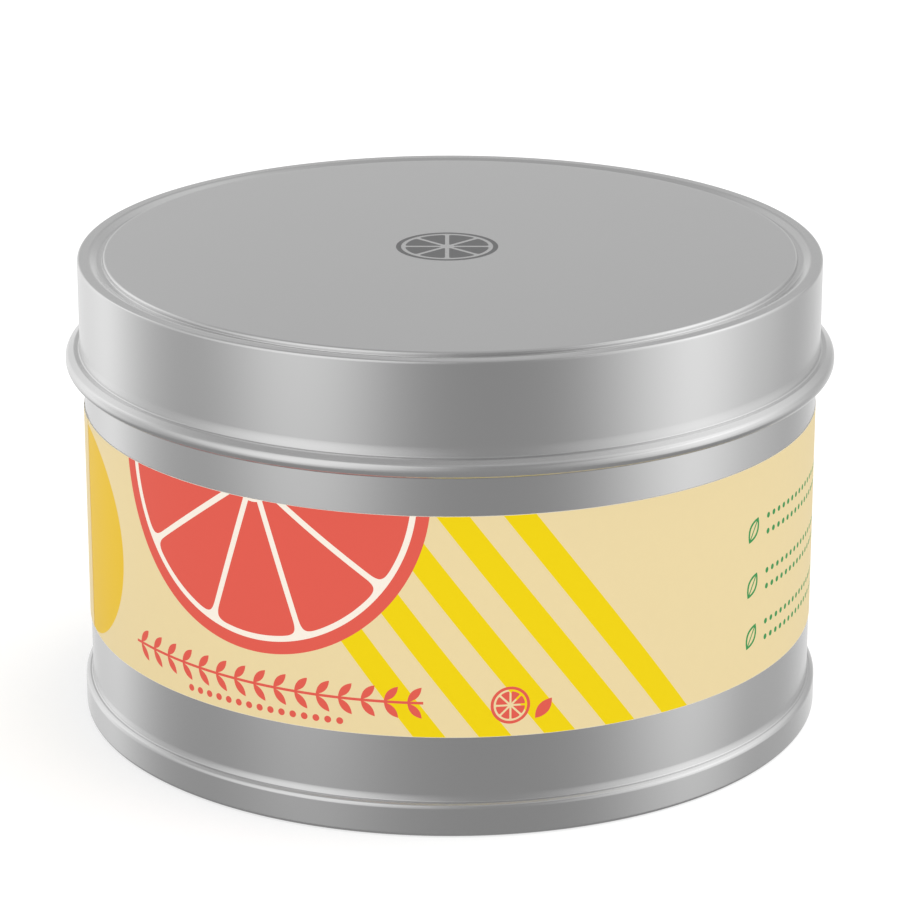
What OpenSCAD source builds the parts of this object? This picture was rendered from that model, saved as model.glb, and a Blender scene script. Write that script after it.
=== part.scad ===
// Citronella candle in a round tinplate travel tin with a slip-on lid.
// The tin stands on z = 0 with its axis on Z, and the front of the label faces -Y.
// Sheet parts are drawn as the centre line of the tinplate, corner by corner, and then given its thickness.

/* [Tin] */
// Outer diameter of the straight wall of the tin
tin_d = 76.3; // [60:0.1:100]
// Height of the closed tin, from the table to the panel of the lid
closed_h = 48.9; // [47:0.1:80]
// Thickness of the tinplate
plate_t = 0.22; // [0.18:0.01:0.24]
// Width of the inward curl at the mouth of the tin
curl_w = 1.3; // [1:0.1:2]
// Height of the inward curl at the mouth of the tin
curl_h = 1.2; // [1:0.1:2]
// Gap between the mouth of the tin and the closed lid
seat_gap = 0.05; // [0.02:0.01:0.2]

/* [Bottom seam] */
// Height of the rolled double seam round the foot
seam_h = 3.3; // [2.8:0.05:4]
// Gap between two layers of tinplate inside the seam
seam_gap = 0.03; // [0.02:0.01:0.05]
// Length of the hook that the wall makes inside the seam
wall_hook = 2.18; // [1.4:0.02:2.3]
// Length of the hook that the bottom end makes inside the seam
end_hook = 2.44; // [1.5:0.02:2.6]
// Height of the underside of the base panel above the table
base_rise = 3.5; // [2:0.1:5]
// Depth of the ring pressed into the base panel
ring_drop = 0.5; // [0.3:0.1:0.8]
// Distance of that ring from the wall of the tin
ring_inset = 5; // [4:0.5:12]
// How far the wall swells out just above the seam
swell = 0.15; // [0.1:0.05:0.3]

/* [Lid] */
// Height of the lid, from its panel to the bottom of its curl
lid_h = 11.5; // [8:0.1:14]
// Running clearance between the lid and the wall of the tin
lid_clear = 0.13; // [0.08:0.01:0.2]
// Radius of the corner between the top and the wall of the lid
lid_corner = 0.14; // [0.14:0.02:0.6]
// Width of the flat rim round the top
rim_w = 1.09; // [0.8:0.01:2]
// Width of the slope from the rim down to the groove
slope_w = 0.8; // [0.6:0.1:1.5]
// Width of the floor of the groove
groove_w = 0.65; // [0.4:0.05:1]
// Depth of the groove below the rim
groove_d = 0.4; // [0.3:0.05:0.8]
// Width of the step from the groove up to the panel
step_w = 0.1; // [0.05:0.05:0.6]
// How far the panel stands above the rim
panel_rise = 0.1; // [0.05:0.05:0.4]
// Width of the outward curl at the foot of the lid
lid_curl_w = 1.7; // [1.4:0.1:2.2]
// Height of the outward curl at the foot of the lid
lid_curl_h = 1.45; // [1.4:0.05:1.8]
// How far the wall of the lid swells out above its curl
lid_swell = 0.25; // [0.1:0.01:0.3]

/* [Label] */
// Height of the lower edge of the label above the table
label_z = 10.3; // [6:0.05:14]
// Height of the label
label_h = 22.9; // [15:0.1:24]
// Thickness of the label
label_t = 0.1; // [0.06:0.01:0.2]
// Gap that the glue takes under the label
glue_t = 0.02; // [0.01:0.01:0.03]
// Overlap of the two ends of the label
label_lap = 5; // [3:0.5:10]
// Place of the visible end of the label, measured round the tin from the front
label_end = -51.1; // [-60:0.1:-45]
// Thickness of the printed ink
ink_t = 0.02; // [0.01:0.01:0.04]

/* [Print] */
// Diameter of the fruit slice that hangs from the upper edge of the label
slice_d = 36.4; // [20:0.2:40]
// Place of the middle of the slice, measured round the tin from the front
slice_at = -20; // [-24:0.5:0]
// Height of the middle of the slice above the upper edge of the label
slice_up = 2.3; // [0:0.1:6]
// Width of the peel of the slice
peel_w = 1.3; // [0.8:0.1:3]
// Width of the pale lines between the segments of the slice
pith_w = 0.6; // [0.3:0.1:1.2]
// Number of segments in a whole slice
segments = 10; // [6:1:14]
// Number of slanting stripes
stripes = 5; // [1:1:6]
// Width of a stripe along the edge of the label
stripe_w = 3.2; // [1:0.1:5]
// Distance from one stripe to the next
stripe_pitch = 6.45; // [5.5:0.05:8]
// Lean of the stripes from upright
stripe_lean = 36.7; // [0:0.1:45]
// Place of the foot of the first stripe, measured round the tin from the front
stripe_at = -3.6; // [-8:0.1:0]
// Diameter of the golden disc that the end of the label cuts
sun_d = 22.3; // [10:0.1:22.4]
// Height of the middle of that disc above the lower edge of the label
sun_z = 11.2; // [10:0.1:12]

/* [Candle] */
// Depth of the wax over the base panel
wax_depth = 32; // [15:0.5:34]
// Rise of the wax where it wets the wall of the tin
wax_rise = 0.6; // [0:0.1:1]
// Gap between the wax and what it was poured against
wax_gap = 0.03; // [0.01:0.01:0.05]
// Diameter of the wick
wick_d = 2; // [1.5:0.1:3]
// Length of the wick above the wax
wick_above = 7; // [3:0.5:8]
// Diameter of the metal tab that holds the wick
tab_d = 20; // [12:0.5:30]
// Thickness of the metal of the tab
tab_t = 0.3; // [0.2:0.05:0.5]
// Height of the neck of the tab
neck_h = 6; // [4:0.5:10]
// Diameter of the sticker under the tab
sticker_d = 19; // [12:0.5:29]
// Thickness of the sticker under the tab
sticker_t = 0.8; // [0.4:0.1:1.5]

/* [Hidden] */

$fn = 144;
// Largest turn between two points of a bend, and of a drawn arc
bend_step = 22.5;
arc_step = 7.5;
// Two points closer than this are one point
same_point = 0.001;

half_t = plate_t / 2;
tin_r = tin_d / 2;
layer = plate_t + seam_gap;

// Centre lines of the five layers of the seam, from inside to outside
wall_r = tin_r - half_t;
chuck_r = wall_r - layer;
end_hook_r = wall_r + layer;
wall_hook_r = wall_r + 2 * layer;
seam_r = wall_r + 3 * layer;

// A hook folds as tightly as one layer between its two legs lets it
fold_r = layer - 0.01;
// Rounding of the foot: sharper than a nested fold, which leaves the foot a flat ring to stand on
foot_flat = 0.24;
foot_r = fold_r + layer - foot_flat;
foot_z = half_t;
wall_foot_z = foot_z + layer;
wall_hook_z = wall_foot_z + wall_hook;
seam_top_z = seam_h - half_t;
end_hook_z = seam_top_z - end_hook;

// Heights of the lid's centre line, from its panel downwards
panel_z = closed_h - half_t;
rim_z = panel_z - panel_rise;
groove_z = rim_z - groove_d;
lid_curl_z = closed_h - lid_h + half_t;
lid_curl_top_z = lid_curl_z + lid_curl_h - plate_t;
lid_wall_r = tin_r + lid_clear + half_t;
lid_curl_r = lid_wall_r + lid_curl_w - plate_t;

// The mouth of the tin stops just under the rim of the lid
mouth_z = rim_z - plate_t - seat_gap;

base_z = base_rise + half_t;
base_bend = 0.6;
ring_bend = 0.4;
// Tight outer corner at the top of the seam
rim_bend = 0.14;
ring_slope = 0.7;
ring_r = tin_r - ring_inset;

label_in = tin_r + glue_t;
label_out = label_in + label_t;
label_top = label_z + label_h;

wax_r = tin_r - plate_t - wax_gap;
wax_floor = base_z + half_t + wax_gap;
wax_top = wax_floor + wax_depth;
sticker_z = wax_floor;
tab_z = sticker_z + sticker_t + tab_t / 2 + wax_gap;
wick_r = wick_d / 2;
neck_r = wick_r + wax_gap + tab_t / 2;

// Vectors in the plane of a profile
function unit(v) = v / norm(v);
function left(v) = [-v[1], v[0]];
function turned(v, a) = [v[0] * cos(a) - v[1] * sin(a), v[0] * sin(a) + v[1] * cos(a)];
function place(corner) = [corner[0], corner[1]];

// One bend of a sheet: points round the corner q between p and s, each with its normal
function bend(p, q, s, radius) =
    let (
        u = unit(q - p),
        v = unit(s - q),
        a = atan2(u[0] * v[1] - u[1] * v[0], u * v),
        side = sign(a),
        centre = q - u * radius * tan(abs(a) / 2) + left(u) * side * radius,
        steps = max(1, ceil(abs(a) / bend_step))
    )
    [for (i = [0:steps]) let (n = turned(left(u), a * i / steps)) [centre - n * side * radius, n]];

// The whole centre line of a sheet from its corners, each given as [r, z, bend radius]
function centre_line(corners) =
    let (last = len(corners) - 1)
    concat(
        [[place(corners[0]), left(unit(place(corners[1]) - place(corners[0])))]],
        [for (i = [1:last - 1])
            each bend(place(corners[i - 1]), place(corners[i]), place(corners[i + 1]), corners[i][2])],
        [[place(corners[last]), left(unit(place(corners[last]) - place(corners[last - 1])))]]
    );

// The same line moved sideways, without the points that fall together
function beside(line, distance) =
    let (moved = [for (s = line) s[0] + s[1] * distance])
    [for (i = [0:len(moved) - 1]) if (i == 0 || norm(moved[i] - moved[i - 1]) > same_point) moved[i]];

function backwards(list) = [for (i = [len(list) - 1:-1:0]) list[i]];

// A round sheet part: the section of the sheet turned about the axis of the tin
module spun_sheet(corners, thickness) {
    line = centre_line(corners);
    rotate_extrude()
        polygon(concat(beside(line, thickness / 2), backwards(beside(line, -thickness / 2))));
}

// The wall swells out a little above a rolled edge, widest at z: an easy slope above that, a tight one below
swell_slope = 3.2;
swell_bend = 15;
function swelling(r, z, out, drop) = [
    [r, z + swell_slope * out, swell_bend * out],
    [r + out, z, 0.12],
    [r, z - drop, 0.2]
];

// Base panel with its pressed ring, out to where it bends down beside the wall
base_corners = [
    [0, base_z],
    [ring_r - ring_slope, base_z, ring_bend],
    [ring_r, base_z - ring_drop, ring_bend],
    [ring_r + ring_slope, base_z, ring_bend]
];

end_corners = concat(base_corners, [
    [chuck_r, base_z, base_bend],
    [chuck_r, foot_z, foot_r],
    [seam_r, foot_z, foot_r],
    [seam_r, seam_top_z, rim_bend],
    [end_hook_r, seam_top_z, fold_r],
    [end_hook_r, end_hook_z]
]);

body_corners = concat(
    [
        [wall_r - 0.35, mouth_z - curl_h + plate_t + 0.12],
        [wall_r - 0.55, mouth_z - curl_h + plate_t, 0.15],
        [wall_r - curl_w + plate_t, mouth_z - curl_h + plate_t, 0.4],
        [wall_r - curl_w + plate_t, mouth_z, 0.5],
        [wall_r, mouth_z, 0.5]
    ],
    swelling(wall_r, seam_h + swell - 0.17, swell, swell + 0.01),
    [
        [wall_r, wall_foot_z, fold_r],
        [wall_hook_r, wall_foot_z, fold_r],
        [wall_hook_r, wall_hook_z]
    ]
);

lid_corners = concat(
    [
        [0, panel_z],
        [lid_wall_r - rim_w - slope_w - groove_w - step_w, panel_z, 0.2],
        [lid_wall_r - rim_w - slope_w - groove_w, groove_z, 0.2],
        [lid_wall_r - rim_w - slope_w, groove_z, 0.6],
        [lid_wall_r - rim_w, rim_z, 0.6],
        [lid_wall_r, rim_z, lid_corner]
    ],
    swelling(lid_wall_r, lid_curl_top_z + 0.15, lid_swell, 0.2),
    [
        [lid_wall_r, lid_curl_z, 0.45],
        [lid_curl_r, lid_curl_z, 0.5],
        [lid_curl_r, lid_curl_top_z, 0.7],
        [lid_wall_r + lid_swell + 0.25, lid_curl_top_z, 0.13],
        [lid_wall_r + 0.8 * lid_swell + 0.14, lid_curl_top_z + 0.08]
    ]
);

module lid() {
    color("#c4c5c8")
        spun_sheet(lid_corners, plate_t);
}

module tin_body() {
    color("#b9babd")
        spun_sheet(body_corners, plate_t);
}

module bottom_end() {
    color("#b3b4b7")
        spun_sheet(end_corners, plate_t);
}

// Ring of sealing compound between the end of the wall's hook and the fold of the bottom end
module seam_seal() {
    seal_low = wall_hook_z + wax_gap;
    seal_high = seam_top_z - fold_r - wax_gap;
    color("#8f9a86")
        rotate_extrude()
            translate([wall_hook_r - half_t, seal_low])
                square([plate_t, seal_high - seal_low]);
}

// Turn about Z that brings a place on the unrolled label to the front
function label_angle(at) = at / label_out * 180 / PI;

// Points of a drawn arc
function arc(centre, r, from, to) =
    let (steps = max(2, ceil(abs(to - from) / arc_step)))
    [for (i = [0:steps]) let (a = from + (to - from) * i / steps) centre + r * [cos(a), sin(a)]];

// Prism that stands on the axis and cuts one printed shape out of the label
module printed(points, at) {
    rotate([0, 0, label_angle(at)])
        rotate([90, 0, 0])
            linear_extrude(height = label_out + 1)
                polygon([for (p = points) [label_out * sin(label_angle(p[0] - at)), p[1]]]);
}

module tube(r_in, r_out, z_low, z_high) {
    translate([0, 0, z_low])
        difference() {
            cylinder(h = z_high - z_low, r = r_out);
            translate([0, 0, -1])
                cylinder(h = z_high - z_low + 2, r = r_in);
        }
}

// Film of ink over the face of the label, cut to the printed shapes under it
module ink(thickness) {
    intersection() {
        tube(label_out - label_t / 2, label_out + thickness, label_z, label_top);
        union() children();
    }
}

// The label's own film, with the end that lies on top of the other
module label_film() {
    lap = label_angle(label_lap);
    ramp = label_angle(1);
    end = label_angle(label_end) - 90;
    lap_out = label_out + label_t;
    under = label_out - label_t / 2;
    tube(label_in, label_out, label_z, label_top);
    translate([0, 0, label_z])
        linear_extrude(height = label_h)
            polygon(concat(
                arc([0, 0], lap_out, end, end - lap),
                [under * [cos(end - lap - ramp), sin(end - lap - ramp)]],
                arc([0, 0], under, end - lap, end)
            ));
}

slice_r = slice_d / 2;
slice_centre = [slice_at, label_top + slice_up];

// Peel and segments of the fruit slice, drawn over the label's upper edge
module slice_print() {
    flesh_r = slice_r - peel_w - pith_w;
    core_r = 2.6;
    half = 180 / segments;
    printed(concat(arc(slice_centre, slice_r, -180, 0), arc(slice_centre, slice_r - peel_w, 0, -180)), slice_at);
    for (i = [0:segments - 1]) {
        a = half + i * 2 * half - 180;
        wide = half - asin(pith_w / 2 / flesh_r);
        narrow = half - asin(pith_w / 2 / core_r);
        if (sin(a) < 0)
            printed(concat(
                arc(slice_centre, flesh_r, a - wide, a + wide),
                arc(slice_centre, core_r, a + narrow, a - narrow)
            ), slice_at);
    }
}

// Slanting stripes from the lower edge of the label to the upper, cut where they meet the slice
module stripe_print() {
    shift = label_h * tan(stripe_lean);
    difference() {
        for (i = [0:stripes - 1]) {
            foot = stripe_at + i * stripe_pitch;
            printed([
                [foot, label_z],
                [foot + stripe_w, label_z],
                [foot + stripe_w - shift, label_top],
                [foot - shift, label_top]
            ], foot + stripe_w / 2 - shift / 2);
        }
        printed(arc(slice_centre, slice_r - peel_w / 2, -180, 180 - arc_step), slice_at);
    }
}

// Half of a golden disc: the end of the label cuts the rest off
module sun_print() {
    printed(arc([label_end + 0.1, label_z + sun_z], sun_d / 2, -90, 90), label_end + sun_d / 4);
}

module label() {
    color("#e9d5a3")
        label_film();
    color("#e55f50")
        ink(ink_t * 1.5) slice_print();
    color("#f1d40c")
        ink(ink_t) stripe_print();
    color("#ecc440")
        ink(ink_t) sun_print();
}

// Height of the wax: it climbs a little at the wall and at the wick
function wax_z(r) = wax_top + wax_rise * (exp((r - wax_r) / 1.2) + 0.6 * exp((wick_r - r) / 1.5));

module wax() {
    bore = wick_r + wax_gap;
    from_wall = [0, 0.4, 0.9, 1.5, 2.3, 3.5, 5, 7, 9];
    from_wick = [0, 0.5, 1.1, 1.8, 2.7, 4, 6, 8];
    neck = neck_r + tab_t / 2 + wax_gap;
    well = max(tab_d, sticker_d) / 2 + wax_gap;
    floor_line = beside(centre_line(base_corners), half_t + wax_gap);
    color("#f4efd9")
        rotate_extrude()
            polygon(concat(
                [for (d = from_wall) [wax_r - d, wax_z(wax_r - d)]],
                [for (i = [len(from_wick) - 1:-1:0]) [bore + from_wick[i], wax_z(bore + from_wick[i])]],
                [
                    [bore, tab_z + neck_h + wax_gap],
                    [neck, tab_z + neck_h + wax_gap],
                    [neck, tab_z + tab_t / 2 + wax_gap],
                    [well, tab_z + tab_t / 2 + wax_gap],
                    [well, wax_floor]
                ],
                [for (i = [1:len(floor_line) - 1]) floor_line[i]],
                [[wax_r, wax_floor]]
            ));
}

module wick() {
    color("#efe9da")
        translate([0, 0, tab_z - tab_t / 2])
            cylinder(h = wax_top + wick_above - tab_z + tab_t / 2, r = wick_r);
}

// Tab pressed from one disc of tinplate, with a neck drawn up round the wick
module wick_tab() {
    color("#c9cacc")
        spun_sheet([
            [tab_d / 2, tab_z],
            [neck_r, tab_z, tab_t / 2 + 0.05],
            [neck_r, tab_z + neck_h]
        ], tab_t);
}

// Foam disc with glue on both faces, which keeps the tab on the base panel
module wick_sticker() {
    color("#f2f2ee")
        translate([0, 0, sticker_z])
            cylinder(h = sticker_t, r = sticker_d / 2);
}

lid();
tin_body();
bottom_end();
seam_seal();
label();
wax();
wick();
wick_tab();
wick_sticker();
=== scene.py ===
"""A citronella candle in a round tinplate travel tin, dressed for its picture.

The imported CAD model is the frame. Its sheet parts are replaced by finely curved surfaces that follow the
same corners, the label gets its print, the wax and the wick get their surfaces, and the small parts
inside get their finishes.
"""

import math

import bpy
import numpy as np
from bpy.props import FloatProperty, FloatVectorProperty, IntProperty, PointerProperty
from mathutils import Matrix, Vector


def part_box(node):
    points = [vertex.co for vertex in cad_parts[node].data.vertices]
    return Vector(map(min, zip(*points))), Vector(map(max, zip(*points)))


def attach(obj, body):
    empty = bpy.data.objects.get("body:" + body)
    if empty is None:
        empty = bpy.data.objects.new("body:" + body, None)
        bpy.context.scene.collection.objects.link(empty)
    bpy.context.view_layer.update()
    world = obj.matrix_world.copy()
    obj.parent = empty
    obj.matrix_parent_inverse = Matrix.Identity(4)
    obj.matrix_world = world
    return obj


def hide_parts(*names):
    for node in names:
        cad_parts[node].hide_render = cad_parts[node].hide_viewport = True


bl_info = {
    "name": "Citronella tin candle",
    "version": (1, 0, 0),
    "blender": (4, 5, 0),
    "location": "3D View > Sidebar > Candle",
    "description": "Dresses the packed model of a citronella candle in a tinplate travel tin",
    "category": "Object",
}

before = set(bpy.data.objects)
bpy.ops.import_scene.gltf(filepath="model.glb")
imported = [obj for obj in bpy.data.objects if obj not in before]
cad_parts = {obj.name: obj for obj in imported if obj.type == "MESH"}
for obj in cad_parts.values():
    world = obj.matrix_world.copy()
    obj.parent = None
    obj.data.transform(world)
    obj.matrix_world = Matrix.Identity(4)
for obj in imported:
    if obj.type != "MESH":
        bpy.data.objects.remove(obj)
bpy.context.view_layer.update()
LID_LOW, LID_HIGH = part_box("lid")
BODY_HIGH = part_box("tin_body")[1]
END_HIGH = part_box("bottom_end")[1]
LABEL_LOW, LABEL_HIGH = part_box("label")
WAX_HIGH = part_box("wax")[1]
WICK_LOW, WICK_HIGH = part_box("wick")
TAB_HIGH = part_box("wick_tab")[1]
STICKER_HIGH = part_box("wick_sticker")[1]

MM = 0.001
# Columns round the tin, and round the wax
TURNS = 360
WAX_TURNS = 240
NO_TRIANGLES = np.zeros((0, 3), int)
# Largest turn between two points of a bend, and steps round the edge of a sheet
BEND_STEP = math.radians(9)
EDGE_STEPS = 6
# Distance from a bend of the point that keeps the flat beside it flat
GUARD = 0.04 * MM
# Cosine above which two directions count as one, and distance below which two points do
PARALLEL = 1 - 1e-9
TOUCHING = 0.001 * MM
# How much less than a layer a fold of the seam is bent
FOLD_SLACK = 0.01 * MM
# Room between a rolled edge and the swelling above it
SWELL_ROOM = 0.02 * MM


# Sizes and colours that a user may change


def linear(level):
    """A screen level from 0 to 255 as an amount of light from 0 to 1, by a standard screen's curve."""
    x = level / 255
    return x / 12.92 if x <= 0.04045 else ((x + 0.055) / 1.055) ** 2.4


def length(name, default, description):
    """A size in metres."""
    return FloatProperty(
        name=name, description=description, default=default, unit="LENGTH", subtype="DISTANCE", precision=5
    )


def ink(name, levels, description):
    """A colour, given by its screen levels."""
    return FloatVectorProperty(
        name=name,
        description=description,
        default=[linear(x) for x in levels],
        subtype="COLOR",
        min=0,
        max=1,
    )


def amount(name, default, description):
    """A number that isn't below 0."""
    return FloatProperty(name=name, description=description, default=default, min=0)


def share(name, default, description):
    """A part of one."""
    return FloatProperty(name=name, description=description, default=default, min=0, max=1, subtype="FACTOR")


def angle(name, degrees, description):
    """An angle, given in degrees."""
    return FloatProperty(
        name=name, description=description, default=math.radians(degrees), unit="ROTATION", subtype="ANGLE"
    )


class TinSizes(bpy.types.PropertyGroup):
    """Sizes of the tin's wall and bottom end"""

    plate: length("Tinplate", 0.22 * MM, "Thickness of the tinplate")
    reach: length("Seam radius", END_HIGH.x, "Outer radius of the rolled seam")
    seam_top: length("Seam top", 3.46 * MM, "Height of the rolled seam")
    mouth: length("Mouth", BODY_HIGH.z, "Height of the mouth of the tin")
    seam_gap: length("Seam gap", 0.03 * MM, "Gap between two layers of the seam")
    wall_hook: length("Wall hook", 2.18 * MM, "Length of the hook of the wall inside the seam")
    end_hook: length("End hook", 2.44 * MM, "Length of the hook of the bottom end inside the seam")
    base_rise: length("Base rise", 3.5 * MM, "Height of the underside of the base panel")
    ring_drop: length("Ring depth", 0.5 * MM, "Depth of the ring pressed into the base panel")
    ring_inset: length("Ring inset", 5 * MM, "Distance of the pressed ring from the wall")
    swell: length("Swelling", 0.09 * MM, "How far the wall swells out above the seam")
    curl_width: length("Curl width", 1.3 * MM, "Width of the inward curl at the mouth")
    curl_height: length("Curl height", 1.2 * MM, "Height of the inward curl at the mouth")


class LidSizes(bpy.types.PropertyGroup):
    """Sizes of the slip-on lid"""

    reach: length("Curl radius", LID_HIGH.x, "Outer radius of the curl at the foot of the lid")
    top: length("Panel", LID_HIGH.z, "Height of the panel of the closed lid")
    low: length("Lower edge", LID_LOW.z, "Height of the foot of the closed lid")
    corner: length("Corner", 0.14 * MM, "Radius of the corner between the top and the wall")
    rim: length("Rim", 1.09 * MM, "Width of the flat rim")
    slope: length("Slope", 0.8 * MM, "Width of the slope from the rim to the groove")
    groove: length("Groove", 0.65 * MM, "Width of the floor of the groove")
    groove_depth: length("Groove depth", 0.4 * MM, "Depth of the groove below the rim")
    step: length("Step", 0.1 * MM, "Width of the step from the groove to the panel")
    panel_rise: length("Panel rise", 0.1 * MM, "How far the panel stands above the rim")
    curl_width: length("Curl width", 1.7 * MM, "Width of the outward curl")
    curl_height: length("Curl height", 1.84 * MM, "Height of the outward curl")
    swell: length("Swelling", 0.1 * MM, "How far the wall swells out above the curl")
    mark: length("Mark", 5.3 * MM, "Radius of the small fruit mark on the panel")
    mark_right: length("Mark place", -0.3 * MM, "Place of the mark's middle, to the right")
    mark_back: length("Mark depth", 0.6 * MM, "Place of the mark's middle, to the back")


class LabelSizes(bpy.types.PropertyGroup):
    """Sizes of the label and of its print; places are measured round the tin from the front"""

    low: length("Lower edge", LABEL_LOW.z, "Height of the lower edge")
    high: length("Upper edge", LABEL_HIGH.z, "Height of the upper edge")
    film: length("Film", 0.05 * MM, "Thickness of the film")
    glue: length("Glue", 0.01 * MM, "Thickness of the glue under the film")
    lap: length("Lap", 5 * MM, "Overlap of the two ends")
    end: length("End", -51.1 * MM, "Place of the visible end")
    slice_radius: length("Slice", 18.2 * MM, "Radius of the fruit slice")
    slice_at: length("Slice place", -20 * MM, "Place of the middle of the slice")
    slice_up: length("Slice rise", 2.3 * MM, "Height of the middle of the slice above the label")
    peel: length("Peel", 1.3 * MM, "Width of the peel")
    pith: length("Pith", 0.6 * MM, "Width of the pale lines between the segments")
    core: length("Core", 2.6 * MM, "Radius of the slice's middle, where the segments end")
    segments: IntProperty(name="Segments", description="Segments in a whole slice", default=10, min=4)
    stripes: IntProperty(name="Stripes", description="Number of slanting stripes", default=5, min=1)
    stripe: length("Stripe", 3.2 * MM, "Width of a stripe along the edge of the label")
    stripe_pitch: length("Stripe pitch", 6.45 * MM, "Distance from one stripe to the next")
    stripe_at: length("First stripe", -3.6 * MM, "Place of the foot of the first stripe")
    lean: angle("Lean", 36.7, "Lean of the stripes from upright")
    sun_radius: length("Golden disc", 11.15 * MM, "Radius of the golden disc")
    sun_in: length("Disc place", 0.1 * MM, "Distance of the disc's middle from the visible end")
    sun_up: length("Disc height", 11.2 * MM, "Height of the disc's middle above the lower edge")


class WaxSizes(bpy.types.PropertyGroup):
    """Sizes of the wax and the wick"""

    wax_radius: length("Wax radius", WAX_HIGH.x, "Radius of the wax")
    wax_depth: length("Wax depth", 32 * MM, "Depth of the wax over the base")
    wax_rise: length("Wax rise", 0.6 * MM, "Rise of the wax where it wets the wall")
    gap: length("Gap", 0.03 * MM, "Gap between the wax and what it was poured against")
    ripple: length("Ripple", 0.05 * MM, "Height of the ripples on the wax")
    wick_radius: length("Wick radius", WICK_HIGH.x, "Radius of the wick")
    wick_low: length("Wick foot", WICK_LOW.z, "Height of the foot of the wick")
    wick_high: length("Wick tip", WICK_HIGH.z, "Height of the tip of the wick")
    strand: length("Strand", 0.17 * MM, "Height of a strand of the braid")
    braid: length("Braid", 3.2 * MM, "Length of the wick in which a strand goes once round")


class Colours(bpy.types.PropertyGroup):
    """Colours of the finishes and the inks"""

    lid: ink("Lid", (219, 219, 219), "Tinplate of the lid")
    body: ink("Body", (217, 217, 217), "Tinplate of the wall")
    end: ink("Bottom end", (217, 217, 217), "Tinplate of the bottom end")
    mark: ink("Mark", (116, 116, 117), "Small fruit mark on the lid")
    paper: ink("Label", (236, 216, 166), "Ground of the label")
    peel: ink("Fruit", (227, 94, 80), "Peel and flesh of the slice, and the red ornaments")
    pith: ink("Pith", (250, 240, 226), "Lines between the segments")
    stripe: ink("Stripes", (241, 212, 8), "Slanting stripes")
    sun: ink("Golden disc", (236, 195, 45), "Disc that the end of the label cuts")
    cut: ink("Cut edge", (250, 246, 236), "White core of the film at its cut edges")
    leaf: ink("Leaves", (62, 150, 84), "Small leaves and dots at the right")
    wax: ink("Wax", (244, 234, 190), "Poured wax")
    wick: ink("Wick", (239, 231, 212), "Waxed cotton")
    tab: ink("Tab", (200, 202, 204), "Metal of the wick's tab")
    foam: ink("Sticker", (240, 240, 235), "Foam sticker under the tab")
    seal: ink("Sealing compound", (143, 154, 134), "Compound in the seam")


class StudioSettings(bpy.types.PropertyGroup):
    """Camera, floor and light"""

    distance: length("Distance", 379.5 * MM, "Distance of the camera in front of the tin")
    height: length("Height", 157.59 * MM, "Height of the camera")
    tilt: angle("Tilt", 19.02, "Tilt of the camera below the horizon")
    lens: amount("Lens", 152.27, "Focal length in millimetres")
    even_light: amount("Even light", 0.87, "Strength of the light from all sides")
    lamp: amount("Lamp", 1.3, "Strength of the lamp, which lights only the floor")
    lamp_size: angle("Lamp size", 50, "Width of the lamp, which makes its shadow soft")
    lamp_tilt: angle("Lamp tilt", 28, "Tilt of the lamp from straight above")
    lamp_turn: angle("Lamp turn", 98, "Turn of the lamp from the front to the right")
    floor_glow: amount("Floor glow", 0.566, "Light of the floor itself")
    floor_share: share("Floor share", 0.5, "Part of the floor's light that a shadow takes away")


class Value:
    """A socket of a node tree; Python's operators on it add Math nodes."""

    def __init__(self, nodes, socket):
        self.nodes, self.socket = nodes, socket

    def math(self, operation, *others):
        return self.nodes.math(operation, self, *others)

    def __add__(self, other):
        return self.math("ADD", other)

    __radd__ = __add__

    def __sub__(self, other):
        return self.math("SUBTRACT", other)

    def __rsub__(self, other):
        return self.nodes.math("SUBTRACT", other, self)

    def __mul__(self, other):
        return self.math("MULTIPLY", other)

    __rmul__ = __mul__

    def __mod__(self, other):
        return self.math("FLOORED_MODULO", other)

    def __abs__(self):
        return self.math("ABSOLUTE")

    def __lt__(self, other):
        return self.math("LESS_THAN", other)

    def __gt__(self, other):
        return self.math("GREATER_THAN", other)


class Nodes:
    """The node tree of a material or of the world."""

    def __init__(self, owner):
        owner.use_nodes = True
        self.tree = owner.node_tree
        self.tree.nodes.clear()

    def add(self, kind, settings=None, inputs=None, output=0):
        """A new node: its settings first, then a value or a link for each of its sockets."""
        node = self.tree.nodes.new("ShaderNode" + kind)
        for name, value in (settings or {}).items():
            setattr(node, name, value)
        for name, value in (inputs or {}).items():
            if isinstance(value, Value):
                self.tree.links.new(value.socket, node.inputs[name])
            else:
                node.inputs[name].default_value = value
        return Value(self, node.outputs[output] if len(node.outputs) else None)

    def math(self, operation, *values):
        return self.add("Math", {"operation": operation}, dict(enumerate(values)))

    def most(self, first, *others):
        """The largest of some values."""
        for other in others:
            first = self.math("MAXIMUM", first, other)
        return first

    def distance(self, x, y):
        """The root of x squared plus y squared."""
        return (x * x + y * y).math("SQRT")

    def mix(self, factor, first, second):
        """Colour that goes from the first to the second as the factor goes from 0 to 1.

        The Mix node's colours are its inputs 6 and 7 and its output 2.
        """
        return self.add("Mix", {"data_type": "RGBA"}, {0: factor, 6: opaque(first), 7: opaque(second)}, 2)

    def noise(self, where, scale, detail):
        return self.add("TexNoise", inputs={"Vector": where, "Scale": scale, "Detail": detail})

    def parts(self, vector):
        """The x, y and z of a vector."""
        split = self.add("SeparateXYZ", inputs={0: vector}).socket.node
        return [Value(self, out) for out in split.outputs]

    def bump(self, height, distance):
        return self.add("Bump", inputs={"Strength": 1.0, "Distance": distance, "Height": height})

    def surface(self, shader):
        self.add("OutputMaterial", inputs={"Surface": shader})

    def principled(self, **inputs):
        """One Principled shader as the surface; an input's name has _ for each space."""
        named = {name.replace("_", " "): value for name, value in inputs.items()}
        self.surface(self.add("BsdfPrincipled", inputs=named))


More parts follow.
